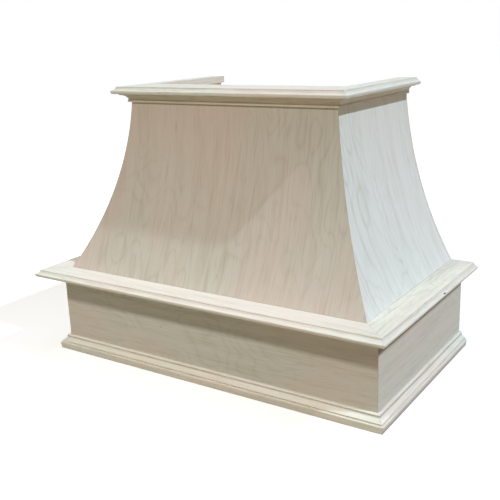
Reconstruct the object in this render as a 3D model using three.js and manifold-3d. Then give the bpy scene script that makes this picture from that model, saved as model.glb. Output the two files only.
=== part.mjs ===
// Wooden range hood cover for a wall above a cooker.
// A moulded apron carries a mitred ledge, and three bell-curved panels rise from the ledge on an inner
// frame of ribs and rails to a crown. The back and the top are open for the duct.
//
// Millimetres, +Z up. The origin is at the foot of the apron, midway across the overall width and depth.
// The wall stands at the +Y side and the front of the hood faces -Y.
import * as THREE from 'three';
import * as BufferGeometryUtils from 'three/addons/utils/BufferGeometryUtils.js';
import Module from 'manifold-3d';

const manifoldLibrary = await Module();
manifoldLibrary.setup();

// ---- Driving dimensions ---------------------------------------------------------------------------

// Stock and fits
const board = 18; // planed boards and frame plywood
const skin = 9; // bending plywood of the curved panels
const fit = 0.3; // clearance between two seated pieces

// Apron: the straight box at the foot
const apronWidth = 914;
const apronDepth = 518; // front face to the wall
const apronHeight = 214;

// Ledge: the mitred shelf board on the apron
const ledgeSideOverhang = 42; // nose beyond the apron's side face
const ledgeFrontOverhang = 65; // nose beyond the apron's front face
const ledgeWidth = 100; // width of each board, nose to inner edge
const ledgeShelf = 70; // the part of it that shows, nose to the foot of the panels

// Bell-shaped body
const bodyHeight = 425; // ledge to the foot of the crown
const bellRun = 133; // how far the panels sweep out from the crown to the ledge
const bellRadius = 1030; // radius of that sweep

// Crown: a cap board over a cove moulding
const capOverhang = 37.5; // nose of the cap beyond the panels
const capInset = 22; // inner edge of the cap behind the panels' outer faces
const coveHeight = 22;
const coveProjection = 23;
const coveTopFillet = 3; // upright strip above the hollow
const coveFootFillet = 5.5; // upright strip below the hollow
const coveFootProjection = 7.5;
const coveFootRelief = 1.5; // how far the hollow cuts in behind the foot fillet
const backerWidth = 55; // flat board behind the front cap

// Nose moulded on the outer edge of the ledge and of the cap
const noseDepth = 10.5; // top edge back to front lip
const noseQuirk = 2.6; // upright step under the top edge
const lipHeight = 5; // upright lip at the bottom
const lipRound = 1.2;
const noseHollow = 12; // radius of the shallow hollow between quirk and lip

// Base moulding round the foot of the apron
const baseProjection = 21;
const fasciaHeight = 13.5;
const fasciaRound = 2.5;
const baseQuirk = 1.6;
const baseHollowHeight = 10;
const baseHollowFoot = 5; // where the hollow ends, off the apron face
const baseBead = 1.8; // radius of the small bead along the top

// Inner frame
const ribWidth = 60;
const hipRibWidth = 85;
const topRailWidth = 60;
const bottomRailWidth = 70;
const edgeStripWidth = 9; // solid strip that closes each side panel at the wall
const frontRibSpacing = 170; // centre to centre
const sideRibFromWall = 190; // middle side rib, centre to wall
const upperWallRailHeight = 80;
const upperWallRailFoot = 300; // above the ledge
const lowerWallRailHeight = 90;
const ledgerHeight = 38;
const ledgerFoot = 20; // above the apron's lower edge, room for the liner's flange
const cornerBlockLeg = 38;

// Facets along curves
const bellSteps = 24;
const hollowSteps = 6;
const roundSteps = 4;
const coveBackSteps = 2;

const weld = 1e-4; // corners nearer than this are one

// ---- Derived layout -------------------------------------------------------------------------------

const overallDepth = apronDepth + ledgeFrontOverhang;
const ledgeTop = apronHeight + board;
const capFoot = bodyHeight + coveHeight; // above the ledge, where the cap lies on the panels

// Each ring is the rectangle on which a section starts: half its width, and its depth to the wall.
const apronRing = { halfWidth: apronWidth / 2, depth: apronDepth };
const ledgeRing = { halfWidth: apronWidth / 2 + ledgeSideOverhang, depth: overallDepth };
const bodyRing = {
  halfWidth: ledgeRing.halfWidth - ledgeShelf - bellRun,
  depth: ledgeRing.depth - ledgeShelf - bellRun,
};

// ---- The bell curve -------------------------------------------------------------------------------

// The curve is one arc through the foot (bellRun out, on the ledge) and the top (flush, at the crown).
// Its centre lies outside the hood, so the panels are hollow towards the room.
function bellArcCentre() {
  const chord = Math.hypot(bellRun, bodyHeight);
  const rise = Math.sqrt(bellRadius ** 2 - (chord / 2) ** 2);
  return {
    out: bellRun / 2 + (bodyHeight / chord) * rise,
    up: bodyHeight / 2 + (bellRun / chord) * rise,
  };
}

const bellCentre = bellArcCentre();

// How far out the face lies at a height above the ledge; an inset face lies that much inside the outer one.
function bellOut(up, inset = 0) {
  return bellCentre.out - Math.sqrt((bellRadius + inset) ** 2 - (up - bellCentre.up) ** 2);
}

function bellCurve(low, high, inset = 0, steps = bellSteps) {
  const points = [];
  for (let step = 0; step <= steps; step += 1) {
    const up = low + ((high - low) * step) / steps;
    points.push(new THREE.Vector2(bellOut(up, inset), up));
  }
  return points;
}

// A band that follows the bell between two insets.
function bellBand(low, high, outerInset, innerInset) {
  const outer = bellCurve(low, high, outerInset);
  const inner = bellCurve(low, high, innerInset);
  return [...outer, ...inner.reverse()];
}

// ---- Sections, as points (out, up) ----------------------------------------------------------------

function arcPoints(centreOut, centreUp, radiusOut, radiusUp, startDegrees, endDegrees, steps) {
  const points = [];
  for (let step = 0; step <= steps; step += 1) {
    const degrees = startDegrees + ((endDegrees - startDegrees) * step) / steps;
    const angle = THREE.MathUtils.degToRad(degrees);
    const out = centreOut + radiusOut * Math.cos(angle);
    const up = centreUp + radiusUp * Math.sin(angle);
    points.push(new THREE.Vector2(out, up));
  }
  return points;
}

function rectangle(outLow, outHigh, upLow, upHigh) {
  return [
    new THREE.Vector2(outLow, upLow),
    new THREE.Vector2(outHigh, upLow),
    new THREE.Vector2(outHigh, upHigh),
    new THREE.Vector2(outLow, upHigh),
  ];
}

// Shallow hollow between two points, bulging into the wood, without its end points.
function hollowBetween(start, end, radius) {
  const chord = new THREE.Vector2().subVectors(end, start);
  const half = chord.length() / 2;
  const sagitta = radius - Math.sqrt(radius ** 2 - half ** 2);
  const inward = new THREE.Vector2(-chord.y, chord.x).normalize();
  const points = [];
  for (let step = 1; step < hollowSteps; step += 1) {
    const along = step / hollowSteps;
    const depth = sagitta * (1 - (2 * along - 1) ** 2);
    const point = start.clone().addScaledVector(chord, along).addScaledVector(inward, depth);
    points.push(point);
  }
  return points;
}

// A board whose outer edge carries the moulded nose: lip, hollow, quirk. Its underside is at height 0.
function nosedBoard(nose, innerEdge) {
  const lipTop = new THREE.Vector2(nose - lipRound / 2, lipHeight + lipRound / 2);
  const quirkFoot = new THREE.Vector2(nose - noseDepth, board - noseQuirk);
  return [
    new THREE.Vector2(innerEdge, 0),
    ...arcPoints(nose - lipRound, lipRound, lipRound, lipRound, -90, 0, roundSteps),
    new THREE.Vector2(nose, lipHeight),
    lipTop,
    ...hollowBetween(lipTop, quirkFoot, noseHollow),
    quirkFoot,
    new THREE.Vector2(nose - noseDepth, board),
    new THREE.Vector2(innerEdge, board),
  ];
}

function baseMouldSection() {
  const fasciaTop = fasciaHeight + fasciaRound;
  const stepOut = baseProjection - fasciaRound - baseQuirk / 2;
  const hollowFoot = fasciaTop + baseQuirk;
  const hollowTop = hollowFoot + baseHollowHeight;
  const beadSeat = baseHollowFoot - baseBead;
  const beadCentre = { out: beadSeat - baseBead / 2, up: hollowTop + 2 * baseBead };
  return [
    new THREE.Vector2(fit, 0),
    new THREE.Vector2(baseProjection, 0),
    ...arcPoints(baseProjection - fasciaRound, fasciaHeight, fasciaRound, fasciaRound, 0, 90, roundSteps),
    new THREE.Vector2(stepOut, fasciaTop),
    ...arcPoints(stepOut, hollowTop, stepOut - baseHollowFoot, baseHollowHeight, 270, 180, hollowSteps),
    new THREE.Vector2(beadSeat, hollowTop),
    ...arcPoints(beadCentre.out, beadCentre.up, baseBead, baseBead, -60, 90, hollowSteps),
    new THREE.Vector2(fit, beadCentre.up + baseBead),
  ];
}

// The cove lies against the panels, whose faces still lean here, and its top is the cap's seat.
function coveSection() {
  const top = capFoot - fit;
  const hollowFoot = bodyHeight + coveFootFillet;
  const hollowOut = coveProjection - coveFootProjection + coveFootRelief;
  const hollowUp = top - coveTopFillet - hollowFoot;
  return [
    ...bellCurve(bodyHeight, top, -fit, coveBackSteps).reverse(),
    new THREE.Vector2(coveFootProjection, bodyHeight),
    new THREE.Vector2(coveFootProjection, hollowFoot),
    ...arcPoints(coveProjection, hollowFoot, hollowOut, hollowUp, 180, 90, hollowSteps),
    new THREE.Vector2(coveProjection, top),
  ];
}

// ---- Solids ---------------------------------------------------------------------------------------

function closed(geometry) {
  geometry.deleteAttribute('normal');
  geometry.deleteAttribute('uv');
  const merged = BufferGeometryUtils.mergeVertices(geometry, weld);
  merged.computeVertexNormals();
  return merged;
}

// Extrudes a section and moves each of its corners to its place: place(out, up, end), end being 0 or 1.
function sweep(section, place) {
  const options = { depth: 1, steps: 1, bevelEnabled: false };
  const geometry = new THREE.ExtrudeGeometry(new THREE.Shape(section), options);
  const position = geometry.getAttribute('position');
  for (let index = 0; index < position.count; index += 1) {
    const corner = place(position.getX(index), position.getY(index), position.getZ(index));
    position.setXYZ(index, corner.x, corner.y, corner.z);
  }
  return closed(geometry);
}

// Half the clearance of a mitre, measured along each run.
const mitrePull = fit * Math.SQRT1_2;

// Where a section's corner lies on one of the three sides. The wall is the plane y = 0 here.
const sides = {
  front: {
    mitred: (ring, out, up, end) => {
      const reach = ring.halfWidth + out - mitrePull;
      return new THREE.Vector3(reach * (1 - 2 * end), -(ring.depth + out), up);
    },
    straight: (ring, out, up, along) => new THREE.Vector3(along, -(ring.depth + out), up),
    direction: -1,
  },
  right: {
    mitred: (ring, out, up, end, wallGap) => {
      const reach = ring.depth + out - mitrePull;
      return new THREE.Vector3(ring.halfWidth + out, end ? -reach : -wallGap, up);
    },
    straight: (ring, out, up, along) => new THREE.Vector3(ring.halfWidth + out, along, up),
    direction: -1,
  },
  left: {
    mitred: (ring, out, up, end, wallGap) => {
      const reach = ring.depth + out - mitrePull;
      return new THREE.Vector3(-(ring.halfWidth + out), end ? -wallGap : -reach, up);
    },
    straight: (ring, out, up, along) => new THREE.Vector3(-(ring.halfWidth + out), along, up),
    direction: 1,
  },
};

// A run of moulding, board or panel along one side, mitred at the front corners and square at the wall.
function mitredRun(section, side, ring, wallGap = 0) {
  return sweep(section, (out, up, end) => sides[side].mitred(ring, out, up, end, wallGap));
}

// A slice of a section, square on both faces, centred at a place along one side.
function slice(section, side, ring, centre, thickness) {
  const { straight, direction } = sides[side];
  return sweep(section, (out, up, end) =>
    straight(ring, out, up, centre + direction * (end - 0.5) * thickness));
}

// A plate on the diagonal under a hip, standing on the corner of a ring.
function diagonalPlate(section, hand, ring, thickness) {
  const corner = new THREE.Vector3(hand * ring.halfWidth, -ring.depth, 0);
  const outward = new THREE.Vector3(hand, -1, 0).normalize();
  const upward = new THREE.Vector3(0, 0, 1);
  const across = new THREE.Vector3().crossVectors(outward, upward);
  return sweep(section, (out, up, end) =>
    corner.clone()
      .addScaledVector(outward, out)
      .addScaledVector(upward, up)
      .addScaledVector(across, (end - 0.5) * thickness));
}

function toManifold(geometry) {
  const merged = closed(geometry.clone());
  const vertProperties = new Float32Array(merged.getAttribute('position').array);
  const triVerts = new Uint32Array(merged.getIndex().array);
  const mesh = new manifoldLibrary.Mesh({ numProp: 3, vertProperties, triVerts });
  return new manifoldLibrary.Manifold(mesh);
}

function fromManifold(manifold) {
  const mesh = manifold.getMesh();
  const geometry = new THREE.BufferGeometry();
  geometry.setAttribute('position', new THREE.BufferAttribute(new Float32Array(mesh.vertProperties), 3));
  geometry.setIndex(new THREE.BufferAttribute(new Uint32Array(mesh.triVerts), 1));
  geometry.computeVertexNormals();
  return geometry;
}

// The room inside the bell, a given inset within the panels' outer faces, from below the ledge to the cap.
function roomInside(inset) {
  const low = fit;
  const high = capFoot - fit;
  const face = bellCurve(low, high, inset);
  const { halfWidth, depth } = bodyRing;
  const reach = depth + halfWidth;
  const frontRoom = [...face, new THREE.Vector2(-depth, high), new THREE.Vector2(-depth, low)];
  const rightFace = face.map((point) => new THREE.Vector2(halfWidth + point.x, point.y));
  const leftFace = rightFace.map((point) => new THREE.Vector2(-point.x, point.y)).reverse();
  const acrossFront = slice(frontRoom, 'front', bodyRing, 0, 2 * reach);
  const acrossSides = sweep([...rightFace, ...leftFace], (out, up, end) =>
    new THREE.Vector3(out, -reach * end, up));
  return toManifold(acrossFront).intersect(toManifold(acrossSides));
}

function trimmed(geometry, room) {
  return fromManifold(toManifold(geometry).intersect(room));
}

function block(xLow, xHigh, yLow, yHigh, zLow, zHigh) {
  const geometry = new THREE.BoxGeometry(xHigh - xLow, yHigh - yLow, zHigh - zLow);
  geometry.translate((xLow + xHigh) / 2, (yLow + yHigh) / 2, (zLow + zHigh) / 2);
  return closed(geometry);
}

// ---- Materials ------------------------------------------------------------------------------------

const finishes = {
  mapleVeneer: { color: 0xd6c8b6, roughness: 0.62, metalness: 0 },
  solidMaple: { color: 0xe9e2d3, roughness: 0.58, metalness: 0 },
  framePlywood: { color: 0xcdb48c, roughness: 0.75, metalness: 0 },
};

function piece(name, geometry, finish) {
  const mesh = new THREE.Mesh(geometry, new THREE.MeshStandardMaterial(finishes[finish]));
  mesh.name = name;
  return mesh;
}

// Left, right and front copies of one run.
function threeSides(build) {
  return ['front', 'left', 'right'].map((side) => build(side));
}

const hands = [
  { side: 'left', hand: -1 },
  { side: 'right', hand: 1 },
];

// ---- Apron, with the liner's ledgers ----------------------------------------------------------------

function apron() {
  const group = new THREE.Group();
  const apronSection = rectangle(-board, 0, 0, apronHeight - fit);
  group.add(...threeSides((side) =>
    piece(`${side}_apron`, mitredRun(apronSection, side, apronRing), 'mapleVeneer')));
  group.add(...threeSides((side) =>
    piece(`${side}_base_mould`, mitredRun(baseMouldSection(), side, apronRing), 'solidMaple')));

  const innerX = apronRing.halfWidth - board - fit;
  const innerFront = -(apronRing.depth - board - fit);
  const ledgerTop = ledgerFoot + ledgerHeight;
  const behindFront = innerFront + board + fit;
  const beforeRear = -board - fit;
  const frontLedger = block(-innerX, innerX, innerFront, innerFront + board, ledgerFoot, ledgerTop);
  const rearLedger = block(-innerX, innerX, -board, 0, ledgerFoot, ledgerTop);
  group.add(piece('front_ledger', frontLedger, 'framePlywood'));
  group.add(piece('rear_ledger', rearLedger, 'framePlywood'));
  for (const { side, hand } of hands) {
    const xs = [hand * innerX, hand * (innerX - board)].sort((a, b) => a - b);
    const ledger = block(xs[0], xs[1], behindFront, beforeRear, ledgerFoot, ledgerTop);
    group.add(piece(`${side}_ledger`, ledger, 'framePlywood'));
    group.add(cornerBlock(side, hand, innerX, innerFront, ledgerTop + fit));
  }

  const railFoot = apronHeight - fit - lowerWallRailHeight;
  const lowerRail = block(-innerX, innerX, -board, 0, railFoot, apronHeight - fit);
  group.add(piece('lower_wall_rail', lowerRail, 'framePlywood'));
  return group;
}

// A three-cornered block glued into each front corner of the apron.
function cornerBlock(side, hand, innerX, innerFront, foot) {
  const plan = new THREE.Shape([
    new THREE.Vector2(hand * innerX, innerFront),
    new THREE.Vector2(hand * (innerX - cornerBlockLeg), innerFront),
    new THREE.Vector2(hand * innerX, innerFront + cornerBlockLeg),
  ]);
  const height = apronHeight - fit - foot;
  const geometry = new THREE.ExtrudeGeometry(plan, { depth: height, bevelEnabled: false });
  const mesh = piece(`${side}_corner_block`, closed(geometry), 'framePlywood');
  mesh.position.z = foot;
  return mesh;
}

// ---- Ledge ----------------------------------------------------------------------------------------

function ledge() {
  const group = new THREE.Group();
  const section = nosedBoard(0, -ledgeWidth);
  group.add(...threeSides((side) =>
    piece(`${side}_ledge`, mitredRun(section, side, ledgeRing), 'solidMaple')));
  group.position.z = apronHeight;
  return group;
}

// ---- Bell body: panels on their ribs and rails --------------------------------------------------------

const panelFoot = fit;
const panelTop = capFoot - fit;
const bottomRailTop = fit + board;
const ribFoot = bottomRailTop + fit;
const frontRailFoot = capFoot - fit - board;
const sideRailTop = frontRailFoot - fit;
const sideRailFoot = sideRailTop - board;
const behindSkin = skin + fit;

function panels() {
  const section = bellBand(panelFoot, panelTop, 0, skin);
  const stripGap = edgeStripWidth + fit;
  const meshes = threeSides((side) =>
    piece(`${side}_panel`, mitredRun(section, side, bodyRing, stripGap), 'mapleVeneer'));
  for (const { side } of hands) {
    const strip = slice(section, side, bodyRing, -edgeStripWidth / 2, edgeStripWidth);
    meshes.push(piece(`${side}_edge_strip`, strip, 'solidMaple'));
  }
  return meshes;
}

function frontRibs() {
  const section = bellBand(ribFoot, frontRailFoot - fit, behindSkin, behindSkin + ribWidth);
  const names = ['left_front_rib', 'centre_front_rib', 'right_front_rib'];
  return names.map((name, index) => {
    const centre = (index - 1) * frontRibSpacing;
    return piece(name, slice(section, 'front', bodyRing, centre, board), 'framePlywood');
  });
}

function sideRibs() {
  const section = bellBand(ribFoot, sideRailFoot - fit, behindSkin, behindSkin + ribWidth);
  const places = [
    { label: 'middle', centre: -sideRibFromWall },
    { label: 'wall', centre: -board / 2 },
  ];
  return hands.flatMap(({ side }) => places.map(({ label, centre }) =>
    piece(`${side}_${label}_rib`, slice(section, side, bodyRing, centre, board), 'framePlywood')));
}

// A hip rib stands on the diagonal. Its outer edge is bevelled both ways by the room inside the panels.
function hipRibs(room) {
  const top = sideRailFoot - fit;
  const onDiagonal = (point) => new THREE.Vector2(point.x * Math.SQRT2, point.y);
  const outer = bellCurve(ribFoot, top, skin).map(onDiagonal);
  const inner = outer.map((point) => new THREE.Vector2(point.x - hipRibWidth, point.y)).reverse();
  return hands.map(({ side, hand }) => {
    const plate = diagonalPlate([...outer, ...inner], hand, bodyRing, board);
    return piece(`${side}_hip_rib`, trimmed(plate, room), 'framePlywood');
  });
}

// Boards laid flat round the foot and the top of the body, their outer edges bevelled to the panels.
function flatRails(room) {
  const reachX = bodyRing.halfWidth + bellRun;
  const reachY = bodyRing.depth + bellRun;
  const footOut = bellOut(bottomRailTop, behindSkin) - bottomRailWidth;
  const topOut = bellOut(panelTop, behindSkin) - topRailWidth;
  const footFront = -(bodyRing.depth + footOut);
  const topFront = -(bodyRing.depth + topOut);
  const meshes = [];
  const frontFoot = block(-reachX, reachX, -reachY, footFront, fit, bottomRailTop);
  const frontTop = block(-reachX, reachX, -reachY, topFront, frontRailFoot, capFoot - fit);
  meshes.push(piece('front_bottom_rail', trimmed(frontFoot, room), 'framePlywood'));
  meshes.push(piece('front_top_rail', trimmed(frontTop, room), 'framePlywood'));
  for (const { side, hand } of hands) {
    const footXs = [hand * reachX, hand * (bodyRing.halfWidth + footOut)].sort((a, b) => a - b);
    const topXs = [hand * reachX, hand * (bodyRing.halfWidth + topOut)].sort((a, b) => a - b);
    const foot = block(footXs[0], footXs[1], footFront + fit, 0, fit, bottomRailTop);
    const top = block(topXs[0], topXs[1], -reachY, 0, sideRailFoot, sideRailTop);
    meshes.push(piece(`${side}_bottom_rail`, trimmed(foot, room), 'framePlywood'));
    meshes.push(piece(`${side}_top_rail`, trimmed(top, room), 'framePlywood'));
  }
  return meshes;
}

// The rail that takes the wall screws runs between the wall ribs.
function upperWallRail() {
  const between = roomInside(behindSkin + ribWidth + fit);
  const foot = upperWallRailFoot;
  const reach = bodyRing.halfWidth + bellRun;
  const rail = block(-reach, reach, -board, 0, foot, foot + upperWallRailHeight);
  return piece('upper_wall_rail', trimmed(rail, between), 'framePlywood');
}

function body() {
  const group = new THREE.Group();
  const room = roomInside(behindSkin);
  group.add(...panels(), ...frontRibs(), ...sideRibs(), ...hipRibs(room));
  group.add(...flatRails(room), upperWallRail());
  group.position.z = ledgeTop;
  return group;
}

// ---- Crown ----------------------------------------------------------------------------------------

function crown() {
  const group = new THREE.Group();
  group.add(...threeSides((side) =>
    piece(`${side}_crown_cove`, mitredRun(coveSection(), side, bodyRing), 'solidMaple')));
  const caps = threeSides((side) =>
    piece(`${side}_crown_cap`, mitredRun(nosedBoard(capOverhang, -capInset), side, bodyRing), 'solidMaple'));
  for (const cap of caps) {
    cap.position.z = capFoot;
  }
  group.add(...caps);

  const innerX = bodyRing.halfWidth - capInset - fit;
  const frontEdge = -(bodyRing.depth - capInset - fit);
  const backer = block(-innerX, innerX, frontEdge, frontEdge + backerWidth, 0, board);
  const backerMesh = piece('crown_backer', backer, 'solidMaple');
  backerMesh.position.z = capFoot;
  group.add(backerMesh);
  group.position.z = ledgeTop;
  return group;
}

// ---- The hood, moved so that the origin is midway between the front lip and the wall -----------------

const hood = new THREE.Group();
hood.add(apron(), ledge(), body(), crown());
hood.position.y = overallDepth / 2;

export default hood;
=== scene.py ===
"""Looks and stage for a wooden range hood cover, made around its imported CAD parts.

The file is laid out as a Blender add-on and is run as a script. Every CAD part gets a finished piece in raw
wood: a copy with eased edges, or a moulding with its full profile. The three bell panels follow their own
rule in Geometry Nodes, and so do the screws and the brad marks. Everything is in metres, in the frame of
the CAD parts.
"""

import math

import bmesh
import bpy
from bpy.props import FloatProperty, FloatVectorProperty, IntProperty, PointerProperty
from mathutils import Matrix, Vector


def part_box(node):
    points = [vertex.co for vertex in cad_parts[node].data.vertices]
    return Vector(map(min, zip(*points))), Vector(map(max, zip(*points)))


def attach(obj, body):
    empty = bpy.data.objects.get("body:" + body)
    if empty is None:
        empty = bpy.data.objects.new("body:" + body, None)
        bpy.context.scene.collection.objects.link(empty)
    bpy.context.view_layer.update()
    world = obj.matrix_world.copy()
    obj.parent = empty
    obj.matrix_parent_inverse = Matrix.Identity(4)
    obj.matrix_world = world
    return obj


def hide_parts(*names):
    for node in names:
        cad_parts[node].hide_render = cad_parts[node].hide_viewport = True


bl_info = {
    "name": "Wooden Range Hood Cover",
    "version": (1, 0, 0),
    "blender": (4, 5, 0),
    "location": "View3D > Sidebar > Hood Cover",
    "description": "Finishes a wooden range hood cover in raw maple and sets up its stage",
    "category": "Object",
}

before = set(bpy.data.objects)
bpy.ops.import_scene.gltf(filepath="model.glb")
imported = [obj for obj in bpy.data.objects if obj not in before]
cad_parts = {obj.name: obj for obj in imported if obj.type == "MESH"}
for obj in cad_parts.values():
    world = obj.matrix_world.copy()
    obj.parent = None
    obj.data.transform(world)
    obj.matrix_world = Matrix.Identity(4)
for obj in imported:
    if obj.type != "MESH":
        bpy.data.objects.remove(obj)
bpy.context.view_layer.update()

MM = 0.001
X = Vector((1, 0, 0))
Y = Vector((0, 1, 0))
Z = Vector((0, 0, 1))
BOARD = "board"  # attribute: place along the grain, across it and through the board, in metres


# ---- Settings ---------------------------------------------------------------------------------------


def linear(hex_code):
    """Turns an sRGB hex colour into the linear colour that Blender's shaders take."""
    channels = (int(hex_code[start : start + 2], 16) / 255 for start in (1, 3, 5))
    return tuple(c / 12.92 if c <= 0.04045 else ((c + 0.055) / 1.055) ** 2.4 for c in channels)


def length(name, description, default):
    return FloatProperty(name=name, description=description, default=default, unit="LENGTH", precision=5)


def colour(name, description, hex_code):
    return FloatVectorProperty(
        name=name, description=description, default=linear(hex_code), subtype="COLOR", min=0, max=1
    )


def place(name, description, default):
    return FloatVectorProperty(
        name=name, description=description, default=default, subtype="TRANSLATION", unit="LENGTH"
    )


class HoodSizes(bpy.types.PropertyGroup):
    """Sizes of the finished pieces."""

    eased_edge: length("Eased edge", "Width that sanding takes off each corner", 0.4 * MM)
    mould_fit: length("Moulding fit", "Gap between two mouldings at a mitre", 0.3 * MM)
    nose_depth: length("Nose depth", "Top edge of a ledge or cap back from its bead", 10.5 * MM)
    nose_step: length("Nose step", "Upright step under the top edge of a ledge or cap", 1.3 * MM)
    bead_height: length("Nose bead height", "Middle of the nose's bead, from the underside", 7.2 * MM)
    bead_round: length("Nose bead radius", "Radius of the nose's bead", 1.6 * MM)
    undercut: length("Undercut", "How far the nose rounds back under its bead", 4.5 * MM)
    fascia_height: length("Fascia height", "Upright face of the base moulding", 15.2 * MM)
    fascia_round: length("Fascia round", "Radius of the round on top of the fascia", 2.6 * MM)
    fascia_lean: length("Fascia lean", "How far the fascia leans in at its foot", 1.6 * MM)
    fascia_step: length("Fascia step", "Height of the step above the fascia's round", 3.5 * MM)
    hollow_height: length("Hollow height", "Height of the base moulding's hollow", 9.9 * MM)
    hollow_depth: length("Hollow depth", "How far the hollow leans back", 10.8 * MM)
    base_bead: length("Base bead radius", "Radius of the bead on the base moulding", 2.9 * MM)
    panel_skin: length("Panel thickness", "Thickness of the bending plywood", 9 * MM)
    panel_fit: length("Panel fit", "Gap between a panel and its neighbours", 0.3 * MM)
    bell_run: length("Bell run", "How far the panels sweep out, crown to ledge", 133 * MM)
    bell_height: length("Bell height", "Ledge to the foot of the crown", 425 * MM)
    bell_radius: length("Bell radius", "Radius of the sweep", 1030 * MM)
    ledge_shelf: length("Ledge shelf", "Ledge nose to the foot of the panels", 70 * MM)
    panel_rows: IntProperty(
        name="Panel rows", description="Rows of corners up the height of a panel", default=49, min=2
    )
    screw_head: length("Screw head", "Diameter of a screw's head", 8.5 * MM)
    brad_length: length("Brad mark length", "Length of a brad's mark, along the grain", 3.2 * MM)
    brad_width: length("Brad mark width", "Width of a brad's mark", 1.4 * MM)
    nail_length: length("Nail hole length", "Length of the torn nail hole, along the grain", 13.0 * MM)
    nail_width: length("Nail hole width", "Width of the open nail hole", 3.6 * MM)
    brad_spacing: length("Brad spacing", "Largest distance between two brads in a row", 260 * MM)


class HoodColours(bpy.types.PropertyGroup):
    """Colours of the raw woods and of the fixings."""

    tan_light: colour("Apron veneer, light", "Early wood of the aprons' veneer", "#D6D1C8")
    tan_dark: colour("Apron veneer, dark", "Late wood of the aprons' veneer", "#C2B8A8")
    rosy_light: colour("Front veneer, light", "Early wood of the front panel's veneer", "#CEC3B8")
    rosy_dark: colour("Front veneer, dark", "Late wood of the front panel's veneer", "#BDAD9E")
    pale_light: colour("Side veneer, light", "Early wood of the side panels' veneer", "#E7E6DF")
    pale_dark: colour("Side veneer, dark", "Late wood of the side panels' veneer", "#D0CDBF")
    maple_light: colour("Solid maple, light", "Early wood of the ledges and caps", "#E6E2D9")
    maple_dark: colour("Solid maple, dark", "Late wood of the ledges and caps", "#C6BCAC")
    base_light: colour("Base maple, light", "Early wood of the base moulding", "#F0EDE5")
    base_dark: colour("Base maple, dark", "Late wood of the base moulding", "#D6CDBB")
    # The coves' maple is darker and browner than the caps': painted shade under the caps' overhang.
    warm_light: colour("Cove maple, light", "Early wood of the coves, browner than the caps", "#D9CBBA")
    warm_dark: colour("Cove maple, dark", "Late wood of the coves", "#BBAA95")
    pink_drift: colour("Pink drift", "Warm patches of the maple", "#FFF8F3")
    green_drift: colour("Green drift", "Cool patches of the maple", "#F7FCF6")
    # Also the colour of the painted shade lines on the right apron and on the base mouldings.
    mineral_and_shade: colour("Mineral mark", "Mineral streaks and pin knots", "#67502F")
    ply_light: colour("Plywood, light", "Face and long-grain plies of the frame plywood", "#E3D2B2")
    ply_dark: colour("Plywood, dark", "Late wood and end-grain plies of the frame plywood", "#D3BC92")
    glue_line: colour("Glue line", "Glue between two plies", "#7C5F3E")
    zinc: colour("Zinc plating", "Plated steel of the screws", "#B9B7AC")
    filler: colour("Wood filler", "Filler over the brads", "#CDBD9F")
    nail_head: colour("Nail hole", "The nail hole that was left open", "#3B3029")


class HoodStage(bpy.types.PropertyGroup):
    """Camera, lights and floor."""

    camera_place: place("Camera", "Where the camera stands", (1.0604, -1.5738, 0.8257))
    camera_target: place("Target", "What the camera looks at", (0.0, 0.0325, 0.2912))
    camera_roll: FloatProperty(
        name="Roll",
        description="Turn of the camera about its line of sight",
        default=math.radians(-1.923),
        subtype="ANGLE",
    )
    focal_length: FloatProperty(
        name="Focal length", description="Of a 36 mm wide sensor, in millimetres", default=55.03
    )
    shift: FloatVectorProperty(
        name="Shift", description="Of the frame, in frame widths", default=(-0.0179, -0.0168), size=2
    )
    key_direction: FloatVectorProperty(
        name="Key direction",
        description="From the cover towards the key light",
        default=(0.845, 0.1235, 1.0),
        subtype="DIRECTION",
    )
    key_strength: FloatProperty(name="Key strength", description="Of the key light, in W/m2", default=2.59)
    key_softness: FloatProperty(
        name="Key softness",
        description="Angle that the key light fills",
        default=math.radians(1.6),
        subtype="ANGLE",
    )
    key_colour: colour("Key colour", "Cool daylight from the right", "#D9EBFF")
    front_place: place("Front light", "Where the soft front light hangs", (-0.15, -1.30, 1.47))
    front_direction: FloatVectorProperty(
        name="Front direction",
        description="Where the front light faces",
        default=(0.0, 0.17, -1.0),
        subtype="DIRECTION",
    )
    front_size: length("Front size", "Width of the front light", 0.16)
    front_reach: length("Front reach", "Distance at which the front light has its full power", 1.48)
    front_power: FloatProperty(name="Front power", description="Of the front light, in W", default=12.5)
    front_colour: colour("Front colour", "Near-white light from the front", "#FBFFFC")
    top_place: place("Top light", "Where the top light hangs", (0.10, -0.15, 2.30))
    top_size: length("Top size", "Width of the top light", 1.2)
    top_power: FloatProperty(name="Top power", description="Of the top light, in W", default=5.0)
    top_colour: colour("Top colour", "Daylight from above", "#D0E4FF")
    room_strength: FloatProperty(name="Room strength", description="Of the light all round", default=0.24)
    room_colour: colour("Room colour", "Warm light all round", "#FFEBD8")
    floor_colour: colour("Floor colour", "Plain pale floor", "#EFEFEE")
    bounce_colour: colour("Bounce colour", "What the floor gives back to the cover", "#9E9076")
    floor_size: length("Floor size", "Length of the floor's sides", 60.0)
    floor_lift: FloatProperty(
        name="Floor lift", description="Light added where the camera sees the floor", default=0.42
    )


# ---- Node trees and materials -----------------------------------------------------------------------


# A colour Mix node's inputs, by number, because its other kinds have inputs of the same names.
FACTOR, UNDER, OVER = 0, 6, 7


def add_node(tree, kind, inputs=None, **settings):
    """Adds a node with its settings. An input is named or numbered, and takes a value, socket or node."""
    made = tree.nodes.new(kind)
    for name, value in settings.items():
        setattr(made, name, value)
    pairs = inputs.items() if isinstance(inputs, dict) else enumerate(inputs or ())
    for key, value in pairs:
        if isinstance(value, bpy.types.Node):
            value = next(output for output in value.outputs if output.enabled)
        socket = made.inputs[key]
        if isinstance(value, bpy.types.NodeSocket):
            tree.links.new(value, socket)
        else:
            socket.default_value = (*value, 1) if socket.type == "RGBA" else value
    return made


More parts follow.
